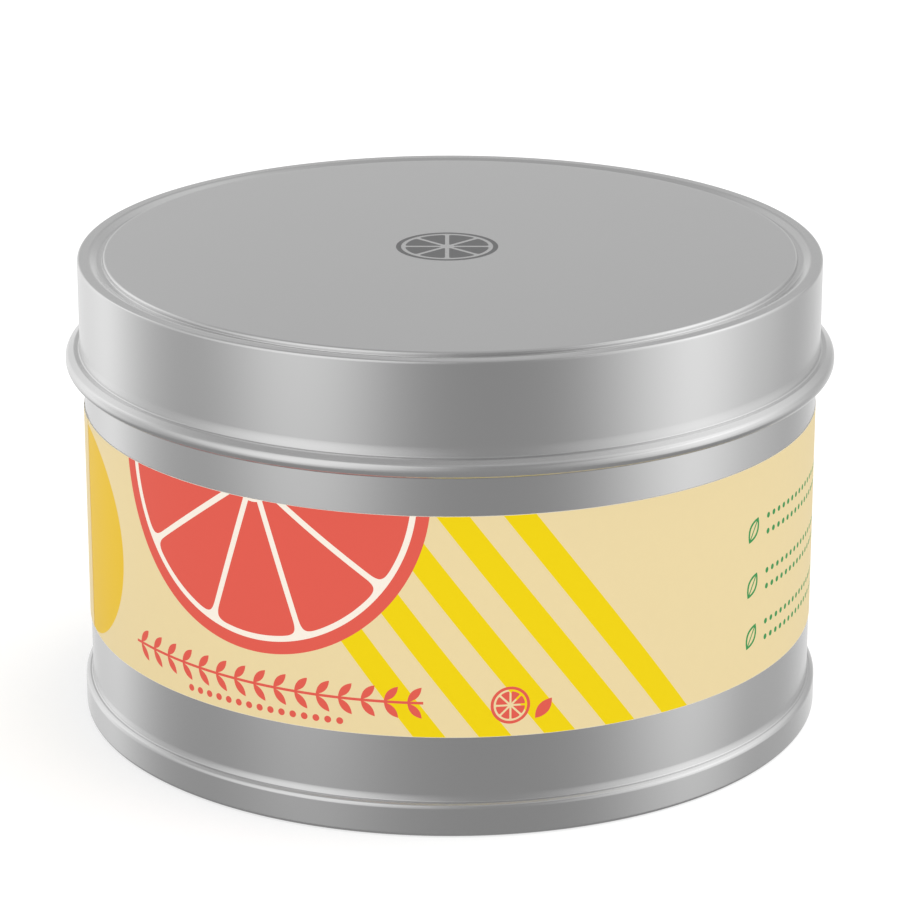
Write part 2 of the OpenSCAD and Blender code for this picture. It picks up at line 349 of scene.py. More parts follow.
def opaque(colour):
    """A colour with its alpha, or a link as it is."""
    return colour if isinstance(colour, Value) else (*colour[:3], 1.0)


def tinted(colour, amount):
    """A colour made that much lighter or darker."""
    return [min(1.0, x * amount) for x in colour]


def new_finish(name):
    """A new material, its empty node tree, and the place on the piece as a vector."""
    material = bpy.data.materials.new(name)
    nodes = Nodes(material)
    return material, nodes, nodes.add("TexCoord", output="Object")


def tinplate(name, colour, mark=None):
    """Satin tinplate: faint clouds in its tone and gloss, and a grain far finer than a millimetre.

    mark(nodes, where) gives the part that a dark print covers.
    """
    satin, cloudy, grainy = 0.235, 0.03, 0.02
    print_matt, print_cover = 0.12, 0.35
    material, nodes, where = new_finish(name)
    cloud = nodes.noise(where, scale=45.0, detail=3.0)
    grain = nodes.noise(where, scale=6500.0, detail=2.0)
    base = nodes.mix(cloud, tinted(colour, 0.985), tinted(colour, 1.015))
    rough = satin + cloudy * cloud + grainy * grain
    metal = 1.0
    if mark:
        printed = mark(nodes, where)
        base = nodes.mix(printed, base, bpy.context.scene.candle_colours.mark)
        rough = rough + printed * print_matt
        metal = metal - printed * print_cover
    nodes.principled(Base_Color=base, Metallic=metal, Roughness=rough, Normal=nodes.bump(grain, 0.0006 * MM))
    return material


def cured_compound(colour):
    """Sealing compound: mottled, and matt."""
    material, nodes, where = new_finish("cured_compound")
    mottle = nodes.noise(where, scale=1500.0, detail=3.0)
    nodes.principled(
        Base_Color=nodes.mix(mottle, tinted(colour, 0.9), tinted(colour, 1.1)),
        Roughness=0.55 + 0.15 * mottle,
        Normal=nodes.bump(mottle, 0.01 * MM),
    )
    return material


def poured_wax(colour):
    """Wax: it lets some light in, and has a faint bloom and fine crystals."""
    material, nodes, where = new_finish("poured_wax")
    bloom = nodes.noise(where, scale=160.0, detail=4.0)
    crystals = nodes.noise(where, scale=1400.0, detail=3.0)
    nodes.principled(
        Base_Color=nodes.mix(bloom, tinted(colour, 0.96), tinted(colour, 1.02)),
        Roughness=0.32 + 0.12 * bloom + 0.05 * crystals,
        Subsurface_Weight=0.35,
        Subsurface_Radius=(1.0, 0.7, 0.35),
        Subsurface_Scale=2.5 * MM,
        IOR=1.44,
        Normal=nodes.bump(bloom + 0.25 * crystals, 0.03 * MM),
    )
    return material


def waxed_cotton(colour):
    """Cotton that the wax has soaked here and there, with a fine fibre."""
    material, nodes, where = new_finish("waxed_cotton")
    fibre = nodes.noise(where, scale=9000.0, detail=3.0)
    soak = nodes.noise(where, scale=700.0, detail=2.0)
    nodes.principled(
        Base_Color=nodes.mix(soak, tinted(colour, 0.9), tinted(colour, 1.04)),
        Roughness=0.55 + 0.25 * fibre,
        Normal=nodes.bump(fibre, 0.02 * MM),
    )
    return material


def glued_foam(colour):
    """White foam with cells a third of a millimetre wide."""
    material, nodes, where = new_finish("glued_foam")
    cells = nodes.add("TexVoronoi", inputs={"Vector": where, "Scale": 3500.0})
    nodes.principled(
        Base_Color=nodes.mix(cells, colour, tinted(colour, 0.85)),
        Roughness=0.7 + 0.2 * cells,
        Normal=nodes.bump(cells, 0.03 * MM),
    )
    return material


def fruit(nodes, x, y, radius, peel, pith, core, segments):
    """The peel and the flesh of a fruit slice round (0, 0).

    The peel is a ring. A segment is what is inside the flesh's radius, further than half the pith from the
    nearest of the lines that divide the circle, and outside the core. A smooth maximum of the first two
    distances rounds its corners.
    """
    rounding = 0.1 * radius
    away = nodes.distance(x, y)
    turn = 2 * math.pi / segments
    past = nodes.math("ARCTAN2", y, x) % turn
    aside = nodes.math("MINIMUM", past, turn - past).math("SINE") * away
    ring = (away < radius) * (away > radius - peel)
    depth = nodes.math("SMOOTH_MAX", away - (radius - peel - pith), pith / 2 - aside, rounding)
    return ring, nodes.most(depth, core - away) < 0.0


def fruit_mark(nodes, where):
    """The small fruit mark in the middle of the panel, on its upper side only: a whole slice."""
    lid = bpy.context.scene.lid_sizes
    x, y, z = nodes.parts(where)
    peel, pith, core = 0.1 * lid.mark, 0.08 * lid.mark, 0.14 * lid.mark
    ring, flesh = fruit(nodes, x - lid.mark_right, y - lid.mark_back, lid.mark, peel, pith, core, segments=8)
    return nodes.most(ring, flesh) * (z > lid.top - lid.panel_rise)


def aside_of(x, y, lean):
    """Distance from the line through (0, 0) at that lean: y cos lean - x sin lean, without its sign."""
    return abs(y * math.cos(lean) - x * math.sin(lean))


def leaf(x, y, long, width, lean):
    """A leaf round (0, 0): two arcs of a parabola that meet at the tips, turned by the lean."""
    along = x * math.cos(lean) + y * math.sin(lean)
    edge = width / 2 - (2 * width / long**2) * (along * along)
    return aside_of(x, y, lean) < edge


def row(s, first, last, pitch):
    """Places in a row of things: the distance from the nearest one, and 1 where the row is."""
    count = max(1, round((last - first) / pitch))
    pitch = (last - first) / count
    return (s - first) % pitch - pitch / 2, (s > first) * (s < last)


def dots(nodes, s, z, first, last, pitch, radius):
    """A row of dots at z = 0."""
    beside, inside = row(s, first, last, pitch)
    return (nodes.distance(beside, z) < radius) * inside


def sprig(nodes, s, z):
    """A stem at z = 0 with a pair of leaves at each step."""
    stem, lean = 0.14 * MM, math.radians(48)
    leaf_in, leaf_up = 0.3 * MM, 0.85 * MM
    beside, inside = row(s, first=-37.2 * MM, last=-2.6 * MM, pitch=2.3 * MM)
    pair = [
        leaf(beside - leaf_in, z - side * leaf_up, long=2.1 * MM, width=0.8 * MM, lean=side * lean)
        for side in (1, -1)
    ]
    return nodes.most(*pair, abs(z) < stem) * inside


def small_fruit(nodes, s, z):
    """A small whole slice with a leaf at its side."""
    x, y = s - 5.9 * MM, z - 13.55 * MM
    ring, flesh = fruit(nodes, x, y, 1.95 * MM, peel=0.3 * MM, pith=0.2 * MM, core=0.25 * MM, segments=8)
    beside = leaf(s - 9.2 * MM, z - 13.0 * MM, long=2.6 * MM, width=1.2 * MM, lean=math.radians(50))
    return nodes.most(ring, flesh, beside)


def leaf_lines(nodes, s, z):
    """Three leaves one above the other, each with two rows of dots: a leaf is an outline with a vein."""
    leaf_at, lean, vein = 35 * MM, math.radians(56), 0.09 * MM
    line_up = 0.85 * MM
    things = []
    for middle in (26.3 * MM, 20.4 * MM, 14.9 * MM):
        x, y = s - leaf_at, z - middle
        outline = leaf(x, y, long=2.9 * MM, width=1.7 * MM, lean=lean)
        hollow = leaf(x, y, long=2.2 * MM, width=1.1 * MM, lean=lean)
        things.append(outline * nodes.most(1.0 - hollow, aside_of(x, y, lean) < vein))
        for up, last in ((line_up, 72 * MM), (-line_up, 66 * MM)):
            things.append(dots(nodes, s, y - up, 37.2 * MM, last, pitch=1.15 * MM, radius=0.3 * MM))
    return nodes.most(*things)


def label_print():
    """Film of the label with its fields of colour, drawn on the unrolled film in metres.

    s runs along the film from the front and z is the height. A stripe is where s, moved by z times the
    tangent of the lean, falls into the first part of its pitch.
    """
    cut_width, dots_z, stem_z = 0.02 * MM, 11.45 * MM, 13.9 * MM
    paper_rough, ink_gloss = 0.5, 0.06
    size, tone = bpy.context.scene.label_sizes, bpy.context.scene.candle_colours
    material, nodes, where = new_finish("label_print")
    s, z, _ = nodes.parts(nodes.add("UVMap", {"uv_map": "unrolled"}))
    up = z - size.low

    x, y = s - size.slice_at, z - (size.high + size.slice_up)
    ring, flesh = fruit(nodes, x, y, size.slice_radius, size.peel, size.pith, size.core, size.segments)
    disc = nodes.distance(x, y) < size.slice_radius

    across = s - size.stripe_at + up * math.tan(size.lean)
    stripe = (across % size.stripe_pitch < size.stripe) * (across > 0.0)
    stripe = stripe * (across < size.stripes * size.stripe_pitch)

    sun = nodes.distance(s - size.end - size.sun_in, up - size.sun_up) < size.sun_radius
    sun = sun * (s > size.end) * (s < 0.0)

    red = nodes.most(
        sprig(nodes, s, z - stem_z),
        dots(nodes, s, z - dots_z, first=-28.9 * MM, last=-10.3 * MM, pitch=1.24 * MM, radius=0.36 * MM),
        small_fruit(nodes, s, z),
    )
    cloud = nodes.noise(where, scale=900.0, detail=3.0)
    colour = nodes.mix(cloud, tinted(tone.paper, 0.99), tinted(tone.paper, 1.01))
    fields = (
        (stripe, tone.stripe),
        (sun, tone.sun),
        (disc, tone.pith),
        (nodes.most(ring, flesh * disc), tone.peel),
        (red, tone.peel),
        (leaf_lines(nodes, s, z), tone.leaf),
        (nodes.most(z > size.high - cut_width, z < size.low + cut_width), tone.cut),
    )
    for field, field_ink in fields:
        colour = nodes.mix(field, colour, field_ink)
    nodes.principled(
        Base_Color=colour,
        Roughness=paper_rough - ink_gloss * nodes.most(stripe, sun, disc, red),
        Specular_IOR_Level=0.1,
        Normal=nodes.bump(cloud, 0.002 * MM),
    )
    return material


def centre_line(corners):
    """Centre line of a bent sheet, with the unit normal on its left at each point.

    Each corner is (r, z, bend radius). An arc joins the two legs of a corner and touches both: its middle
    is radius * tan(turn / 2) back along the first leg and one radius to the side.
    """
    at = np.array([corner[:2] for corner in corners], float)
    legs = np.diff(at, axis=0)
    legs /= np.linalg.norm(legs, axis=1)[:, None]
    sides = np.stack([-legs[:, 1], legs[:, 0]], 1)
    points, normals = [at[:1]], [sides[:1]]
    for i in range(1, len(corners) - 1):
        u, v, side, radius = legs[i - 1], legs[i], sides[i - 1], corners[i][2]
        turn = math.atan2(u[0] * v[1] - u[1] * v[0], u @ v)
        way = math.copysign(radius, turn)
        middle = at[i] - u * radius * math.tan(abs(turn) / 2) + side * way
        part = np.linspace(0, turn, max(2, math.ceil(abs(turn) / BEND_STEP)) + 1)[:, None]
        normal = side * np.cos(part) - u * np.sin(part)
        points.append(middle - normal * way)
        normals.append(normal)
    points, normals = np.concatenate(points + [at[-1:]]), np.concatenate(normals + [sides[-1:]])
    run = np.linalg.norm(np.diff(points, axis=0), axis=1)
    straight = np.sum(normals[1:] * normals[:-1], axis=1) > PARALLEL
    long = np.flatnonzero((run > 3 * GUARD) & straight)
    ahead = (points[long + 1] - points[long]) / run[long, None]
    extra = np.stack([points[long] + ahead * GUARD, points[long + 1] - ahead * GUARD], 1).reshape(-1, 2)
    place = np.repeat(long + 1, 2)
    points = np.insert(points, place, extra, axis=0)
    return points, np.insert(normals, place, np.repeat(normals[long], 2, axis=0), axis=0)


def sheet(corners, thickness):
    """Outline of a bent sheet: its centre line moved half the thickness to the left, a rounded end, and
    the same line moved to the right and walked back. A sheet that doesn't start on the axis gets a
    rounded start too."""
    line, normal = centre_line(corners)
    half = thickness / 2
    part = np.linspace(0, math.pi, EDGE_STEPS + 1)[1:-1, None]
    set_back = 0.999

    def rounded(end, side, ahead):
        return end - ahead * half * set_back + half * (side * np.cos(part) + ahead * np.sin(part))

    def ahead(i, j):
        step = line[j] - line[i]
        return step / np.linalg.norm(step)

    left, right = line + normal * half, line - normal * half
    last = ahead(-2, -1)
    left[-1] -= last * half
    right[-1] -= last * half
    outline = [left, rounded(line[-1], normal[-1], last), right[::-1]]
    if line[0, 0] > 0:
        first = ahead(1, 0)
        left[0] -= first * half
        right[0] -= first * half
        outline.append(rounded(line[0], -normal[0], first))
    return np.concatenate(outline)


def apart(outline):
    """The outline without points that fall together."""
    run = np.linalg.norm(np.diff(outline, axis=0), axis=1)
    return outline[np.concatenate([[True], run > TOUCHING])]


def grid_faces(rows, columns, closed):
    """Quads of a grid that is closed along its columns, and along its rows too if closed."""
    i = np.arange(rows if closed else rows - 1)[:, None]
    j = np.arange(columns)[None]
    below, beside = (i + 1) % rows, (j + 1) % columns
    corners = [i * columns + j, below * columns + j, below * columns + beside, i * columns + beside]
    return np.stack(np.broadcast_arrays(*corners), -1).reshape(-1, 4)


def around(r, a, z):
    """Points at the distance r from the axis and the height z, at the angle a from the front to the right:
    (r sin a, -r cos a, z)."""
    return np.stack(np.broadcast_arrays(r * np.sin(a), -r * np.cos(a), z), -1).reshape(-1, 3)


def with_poles(points, columns, first, last):
    """The points of a grid with a pole on the axis at either end, at the heights first and last, and the
    fans of triangles that join its first and its last row to them."""
    ring = np.arange(columns)
    beside, row_start = (ring + 1) % columns, len(points) - columns
    first_fan = np.stack([np.full(columns, len(points)), ring, beside], 1)
    last_fan = np.stack([np.full(columns, len(points) + 1), row_start + beside, row_start + ring], 1)
    return np.concatenate([points, [[0, 0, first], [0, 0, last]]]), np.concatenate([first_fan, last_fan])


def spun(outline, turns=TURNS):
    """Surface of revolution of an outline of points (r, z). An outline whose two ends lie on the axis is
    closed there by a fan of triangles; any other is closed on itself."""
    outline = apart(outline)
    on_axis = outline[0, 0] < TOUCHING
    body = outline[1:-1] if on_axis else outline
    points = around(body[:, :1], np.arange(turns) * (2 * math.pi / turns), body[:, 1:])
    triangles = NO_TRIANGLES
    if on_axis:
        points, triangles = with_poles(points, turns, outline[0, 1], outline[-1, 1])
    return points, grid_faces(len(body), turns, not on_axis), triangles


def volume(points, quads, triangles):
    """Volume inside a closed surface: a sixth of the sum of a . (b x c) over its triangles, which is
    below 0 where the faces look inwards."""
    corners = np.concatenate([quads[:, [0, 1, 2]], quads[:, [0, 2, 3]], triangles])
    a, b, c = (points[corners[:, i]] for i in range(3))
    return np.sum(a * np.cross(b, c)) / 6


def smooth_mesh(name, points, quads, triangles=NO_TRIANGLES, sharp=40):
    """A smooth mesh from whole arrays, its faces turned outwards, with an edge where they meet sharply."""
    if volume(points, quads, triangles) < 0:
        quads, triangles = quads[:, ::-1], triangles[:, ::-1]
    mesh = bpy.data.meshes.new(name)
    mesh.from_pydata(points, [], quads.tolist() + triangles.tolist())
    mesh.shade_smooth()
    mesh.set_sharp_from_angle(angle=math.radians(sharp))
    mesh.update()
    return mesh


def stand_for(node, name, mesh, body, finish):
    """Puts a finished surface in the place of a CAD node."""
    piece = bpy.data.objects.new(name, mesh)
    bpy.context.scene.collection.objects.link(piece)
    mesh.materials.append(finish)
    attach(piece, body)
    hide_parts(node)


def paint(node, finish):
    """Gives a CAD node that stays its finish."""
    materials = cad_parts[node].data.materials
    materials.clear()
    materials.append(finish)


def swelling(r, z, out, height, bend):
    """Corners of a wall's swelling over a rolled edge: widest at z, easy above it and tight below it."""
    crest_bend, foot_bend = 0.12 * MM, 0.1 * MM
    return [(r, z + height, bend), (r + out, z, crest_bend), (r, z - out - SWELL_ROOM, foot_bend)]


def lid_corners(lid, plate):
    """Corners of the lid's centre line, from the middle of the panel to the free end of the curl."""
    step_bend, slope_bend = 0.2 * MM, 0.6 * MM
    swell_height, swell_bend = 0.75 * MM, 4 * MM
    foot_bend, side_bend, shoulder_bend, end_bend = 0.45 * MM, 0.68 * MM, 0.54 * MM, 0.14 * MM
    shoulder_drop, shoulder_width, end_room = 0.48 * MM, 0.775 * MM, 0.05 * MM
    half = plate / 2
    wall = lid.reach - lid.curl_width + half
    panel = lid.top - half
    rim = panel - lid.panel_rise
    groove = rim - lid.groove_depth
    low = lid.low + half
    curl_top = low + lid.curl_height - plate
    out = wall + lid.curl_width - plate
    slope_end = wall - lid.rim - lid.slope
    step_end = slope_end - lid.groove
    return [
        (0, panel),
        (step_end - lid.step, panel, step_bend),
        (step_end, groove, step_bend),
        (slope_end, groove, slope_bend),
        (wall - lid.rim, rim, slope_bend),
        (wall, rim, lid.corner),
        *swelling(wall, curl_top + half + SWELL_ROOM, lid.swell, swell_height, swell_bend),
        (wall, low, foot_bend),
        (out, low, side_bend),
        (out, curl_top - shoulder_drop, shoulder_bend),
        (out - shoulder_width, curl_top, end_bend),
        (wall + end_room, curl_top),
    ]


def seam_radii(tin):
    """Centre lines of the layers of the seam: chuck wall, wall, end hook, wall hook and outer fold."""
    layer = tin.plate + tin.seam_gap
    wall = tin.reach - tin.plate / 2 - 3 * layer
    return wall - layer, wall, wall + layer, wall + 2 * layer, wall + 3 * layer


def base_corners(tin):
    """Corners of the base panel's centre line, from the middle over the ring that is pressed into it."""
    bend, slope = 0.4 * MM, 0.7 * MM
    base = tin.base_rise + tin.plate / 2
    ring = seam_radii(tin)[1] + tin.plate / 2 - tin.ring_inset
    return [
        (0, base),
        (ring - slope, base, bend),
        (ring, base - tin.ring_drop, bend),
        (ring + slope, base, bend),
    ]


def end_corners(tin):
    """Corners of the bottom end's centre line: base panel, chuck wall, outer fold, hook in the seam."""
    chuck_bend, shoulder_bend, top_bend, hook_bend = 0.6 * MM, 0.3 * MM, 0.14 * MM, 0.03 * MM
    shoulder_drop, shoulder_width, foot_tight = 0.22 * MM, 0.35 * MM, 0.24 * MM
    chuck, _, hook, _, out = seam_radii(tin)
    foot, top = tin.plate / 2, tin.seam_top - tin.plate / 2
    layer = tin.plate + tin.seam_gap
    foot_bend = 2 * layer - FOLD_SLACK - foot_tight
    base = base_corners(tin)
    return base + [
        (chuck, base[0][1], chuck_bend),
        (chuck, foot, foot_bend),
        (out, foot, foot_bend),
        (out, top - shoulder_drop, shoulder_bend),
        (out - shoulder_width, top, top_bend),
        (hook, top, hook_bend),
        (hook, top - tin.end_hook),
    ]


def body_corners(tin):
    """Corners of the wall's centre line, from the end of the curl at the mouth to the hook in the seam."""
    free_end, free_rise, free_bend = 0.35 * MM, 0.12 * MM, 0.15 * MM
    curl_start, curl_low_bend, curl_bend = 0.55 * MM, 0.4 * MM, 0.5 * MM
    swell_room, swell_height, swell_bend = 0.01 * MM, 0.38 * MM, 2.6 * MM
    _, wall, _, hook, _ = seam_radii(tin)
    half = tin.plate / 2
    top = tin.mouth - half
    curl = top - tin.curl_height + tin.plate
    inner = wall - tin.curl_width + tin.plate
    fold = tin.plate + tin.seam_gap - FOLD_SLACK
    foot = half + tin.plate + tin.seam_gap
    return [
        (wall - free_end, curl + free_rise),
        (wall - curl_start, curl, free_bend),
        (inner, curl, curl_low_bend),
        (inner, top, curl_bend),
        (wall, top, curl_bend),
        *swelling(wall, tin.seam_top + swell_room, tin.swell, swell_height, swell_bend),
        (wall, foot, fold),
        (hook, foot, fold),
        (hook, foot + tin.wall_hook),
    ]


def crease_ring(name, node, body, finish, wall, ledge):
    """A ring in the crease between a wall and the ledge of a rolled edge, sunk a little into both. Its
    face is a hollow quarter round: at the angle t, size * (1 - cos t) off the wall and size * (1 - sin t)
    above the ledge."""
    size, sunk, tuck, steps = 0.15 * MM, 0.03 * MM, 0.02 * MM, 8
    wall = wall - tuck
    t = np.linspace(0, math.pi / 2, steps + 1)
    hollow = np.stack([wall + size * (1 - np.cos(t)), ledge + size * (1 - np.sin(t))], 1)
    back = [[wall + size, ledge - sunk], [wall - sunk, ledge - sunk], [wall - sunk, ledge + size]]
    stand_for(node, name, smooth_mesh(name, *spun(np.concatenate([hollow, back]))), body, finish)


class CANDLE_OT_lid(bpy.types.Operator):
    """Slip-on lid with its panel, groove, rim, wall and curl"""

    bl_idname = "candle.lid"
    bl_label = "Lid"

    def execute(self, context):
        lid, plate = context.scene.lid_sizes, context.scene.tin_sizes.plate
        finish = tinplate("satin_tinplate_lid", context.scene.candle_colours.lid, fruit_mark)
        mesh = smooth_mesh("lid_shell", *spun(sheet(lid_corners(lid, plate), plate)))
        stand_for("lid", "lid_shell", mesh, "lid", finish)
        wall = lid.reach - lid.curl_width + plate + lid.swell
        crease_ring("lid_crease", "lid", "lid", finish, wall, lid.low + lid.curl_height)
        return {"FINISHED"}


class CANDLE_OT_wall(bpy.types.Operator):
    """Wall of the tin, from the curl at its mouth to its hook in the seam"""

    bl_idname = "candle.wall"
    bl_label = "Wall of the tin"

    def execute(self, context):
        tin = context.scene.tin_sizes
        finish = tinplate("satin_tinplate_wall", context.scene.candle_colours.body)
        mesh = smooth_mesh("wall_shell", *spun(sheet(body_corners(tin), tin.plate)))
        stand_for("tin_body", "wall_shell", mesh, "tin", finish)
        return {"FINISHED"}


class CANDLE_OT_bottom(bpy.types.Operator):
    """Bottom end with its pressed ring and the outer fold of the seam, and the compound in the seam"""

    bl_idname = "candle.bottom"
    bl_label = "Bottom end"

    def execute(self, context):
        tin, tone = context.scene.tin_sizes, context.scene.candle_colours
        finish = tinplate("satin_tinplate_end", tone.end)
        mesh = smooth_mesh("end_shell", *spun(sheet(end_corners(tin), tin.plate)))
        stand_for("bottom_end", "end_shell", mesh, "tin", finish)
        wall = seam_radii(tin)[1] + tin.plate / 2 + tin.swell
        crease_ring("seam_crease", "bottom_end", "tin", finish, wall, tin.seam_top)
        paint("seam_seal", cured_compound(tone.seal))
        return {"FINISHED"}


def wrapped_film(size, tin_radius):
    """The label as one strip of film wrapped once round the tin, with its last part on top of its first.

    The distance s along the strip goes round the tin at the label's outer radius. The strip's height
    above the wall is the glue, and over the lap one thickness of film more, which it climbs over a
    millimetre. Its section is a rectangle: outer face, upper edge, inner face, lower edge. The inner face
    takes in nearly all of the glue.
    """
    climb_length, layer_gap, glued = 1 * MM, 0.001 * MM, 0.95
    round_columns, climb_columns = 640, 24
    outer = tin_radius + size.glue + size.film
    first = size.end - size.lap
    last = size.end + 2 * math.pi * outer
    climb = last - size.lap - climb_length
    columns = [np.linspace(first, climb, round_columns), np.linspace(climb, last, climb_columns)]
    s = np.unique(np.concatenate(columns))
    lift = np.clip((s - climb) / climb_length, 0, 1) * (size.film + layer_gap)
    inner_r = outer - size.film - glued * size.glue + lift
    outer_r = outer + lift - np.where(lift > 0, layer_gap, 0)
    r = np.stack([outer_r, outer_r, inner_r, inner_r], 1)
    z = np.broadcast_to(np.array([size.low, size.high, size.high, size.low]), r.shape)
    points = around(r, (s / outer)[:, None], z)
    strip = np.stack([np.repeat(s, 4), z.reshape(-1)], 1)
    quads = grid_faces(len(s), 4, False)
    end = (len(s) - 1) * 4
    caps = np.array([[0, 1, 2, 3], [end + 3, end + 2, end + 1, end]])
    return points, np.concatenate([quads, caps]), strip


class CANDLE_OT_label(bpy.types.Operator):
    """Printed film wrapped round the wall, with its ends lapped"""

    bl_idname = "candle.label"
    bl_label = "Label"

    def execute(self, context):
        scene = context.scene
        size = scene.label_sizes
        wall = seam_radii(scene.tin_sizes)[1] + scene.tin_sizes.plate / 2
        points, quads, strip = wrapped_film(size, wall)
        mesh = smooth_mesh("label_wrap", points, quads)
        corner = np.zeros(len(mesh.loops), np.int32)
        mesh.loops.foreach_get("vertex_index", corner)
        mesh.uv_layers.new(name="unrolled").data.foreach_set("uv", strip[corner].astype(np.float32).ravel())
        stand_for("label", "label_wrap", mesh, "tin", label_print())
        return {"FINISHED"}


def wax_outline(wax, tin):
    """Section of the wax, and the number of points on its top. The top climbs a little at the wall and at
    the wick, as exp(-distance). Then come the wick's hole, the well over the tab and the sticker, the
    face on the base panel and the side along the wall."""
    tab_plate, wall_reach, wick_reach, wick_share = 0.3 * MM, 1.2 * MM, 1.5 * MM, 0.6
    off_wall = np.array([0, 0.15, 0.35, 0.6, 0.9, 1.3, 1.8, 2.4, 3.2, 4.2, 5.5, 7, 9]) * MM
    off_wick = np.array([8, 6, 4.8, 3.8, 3, 2.3, 1.7, 1.2, 0.8, 0.5, 0.25, 0]) * MM
    floor = tin.base_rise + tin.plate + wax.gap
    top = floor + wax.wax_depth
    bore = wax.wick_radius + wax.gap
    hub = TAB_HIGH.z + wax.gap
    tab_top = STICKER_HIGH.z + wax.gap + tab_plate + wax.gap
    neck = bore + tab_plate + wax.gap
    well = max(TAB_HIGH.x, STICKER_HIGH.x) + wax.gap
    between = np.linspace(wax.wax_radius - 11 * MM, bore + 10 * MM, 8)
    r = np.concatenate([wax.wax_radius - off_wall, between, bore + off_wick])
    rise = np.exp((r - wax.wax_radius) / wall_reach)
    rise += wick_share * np.exp((wax.wick_radius - r) / wick_reach)
    line, normal = centre_line(base_corners(tin))
    base = (line + normal * (tin.plate / 2 + wax.gap))[1:]
    base = base[base[:, 0] > well]
    upper = np.stack([r, top + wax.wax_rise * rise], 1)
    hole = [[bore, hub], [neck, hub], [neck, tab_top], [well, tab_top], [well, floor]]
    return np.concatenate([upper, hole, base, [[wax.wax_radius, floor]]]), len(r)


def ripples(wax, top):
    """Rise of the wax's top at its points: the sine of the radius, which wanders round the tin, and a
    broader sine of the radius and the angle, both kept below 0 and calmed at the wall and at the wick."""
    narrow, broad, broad_share, wander = 3.1 * MM, 9 * MM, 0.6, 0.8
    calm_wall, calm_wick = 6 * MM, 4 * MM
    r, a = np.hypot(top[:, 0], top[:, 1]), np.arctan2(top[:, 0], -top[:, 1])
    calm = np.clip((wax.wax_radius - r) / calm_wall, 0, 1) * np.clip((r - wax.wick_radius) / calm_wick, 0, 1)
    wave = np.sin(r / narrow + wander * np.sin(3 * a + 1.1)) + broad_share * np.sin(2 * a + r / broad)
    return wax.ripple / 2 * (wave - 1 - broad_share) * calm


class CANDLE_OT_wax(bpy.types.Operator):
    """Poured wax with its raised edge, and faint ripples where it set"""

    bl_idname = "candle.wax"
    bl_label = "Wax"

    def execute(self, context):
        wax = context.scene.wax_sizes
        outline, top_rows = wax_outline(wax, context.scene.tin_sizes)
        points, quads, triangles = spun(outline, WAX_TURNS)
        top = points[: top_rows * WAX_TURNS]
        top[:, 2] += ripples(wax, top)
        mesh = smooth_mesh("wax_fill", points, quads, triangles)
        stand_for("wax", "wax_fill", mesh, "tin", poured_wax(context.scene.candle_colours.wax))
        return {"FINISHED"}


def braided(wax, strands=4):
    """Braided wick: a tube whose radius swells where a strand lies on top.

    Two families of strands wind round it in opposite directions. Each is a row of rounded ridges, the
    absolute cosine across the strands, and rises and falls along itself as it goes over and under the
    other; the higher one shows.
    """
    rows, columns = 560, 96
    highest, tip_length, tip_width = 1.5, 0.5 * MM, 0.72
    height = np.linspace(0, 1, rows)[:, None] * (wax.wick_high - wax.wick_low)
    a = np.arange(columns)[None] * (2 * math.pi / columns)
    wind = 2 * math.pi * height / wax.braid
    right, left = strands * (a + wind) / 2, strands * (a - wind) / 2
    over = 0.5 * np.cos(right + left) * np.cos(right - left)
    one = np.abs(np.cos(right)) + over
    two = np.abs(np.cos(left)) - over
    ridge = np.clip(np.maximum(one, two), 0, highest) / highest
    tip = np.clip((wax.wick_high - wax.wick_low - height) / tip_length, 0, 1)
    r = (wax.wick_radius - wax.strand * (1 - ridge)) * (tip_width + (1 - tip_width) * np.sqrt(tip))
    points, triangles = with_poles(around(r, a, wax.wick_low + height), columns, wax.wick_low, wax.wick_high)
    return points, grid_faces(rows, columns, False), triangles


class CANDLE_OT_wick(bpy.types.Operator):
    """Braided cotton wick, its metal tab and the sticker that holds the tab"""

    bl_idname = "candle.wick"
    bl_label = "Wick"

    def execute(self, context):
        tone = context.scene.candle_colours
        mesh = smooth_mesh("wick_braid", *braided(context.scene.wax_sizes), sharp=75)
        stand_for("wick", "wick_braid", mesh, "tin", waxed_cotton(tone.wick))
        paint("wick_tab", tinplate("pressed_tab", tone.tab))
        paint("wick_sticker", glued_foam(tone.foam))
        return {"FINISHED"}


# Soft boxes that the tinplate mirrors: azimuth from the front to the right, height, half width, half
# height and the soft part of both edges, all in degrees, and brightness, which is below 0 for a dark card
# that takes light away
SOFT_BOXES = (
    (-129, 7, 15, 32, 39, 9.5, 1.11),
    (-45, 23, 30.5, 43.6, 26, 3.6, 0.74),
    (-86, 6, 10.4, 28, 16, 3.4, 0.13),
    (0, 40, 8, 22, 14, 10, -0.2),
    (79, 5, 26, 29, 38, 5.1, 0.94),
    (107, 45, 24, 17, 40, 13, 0.99),
    (177, -17, 12, 24, 40, 14, 1.05),
    (157, 35, 63, 75, 9.7, 2, 0.158),
)
# Brightness that the tinplate mirrors between them
STUDIO_DARK = 0.312


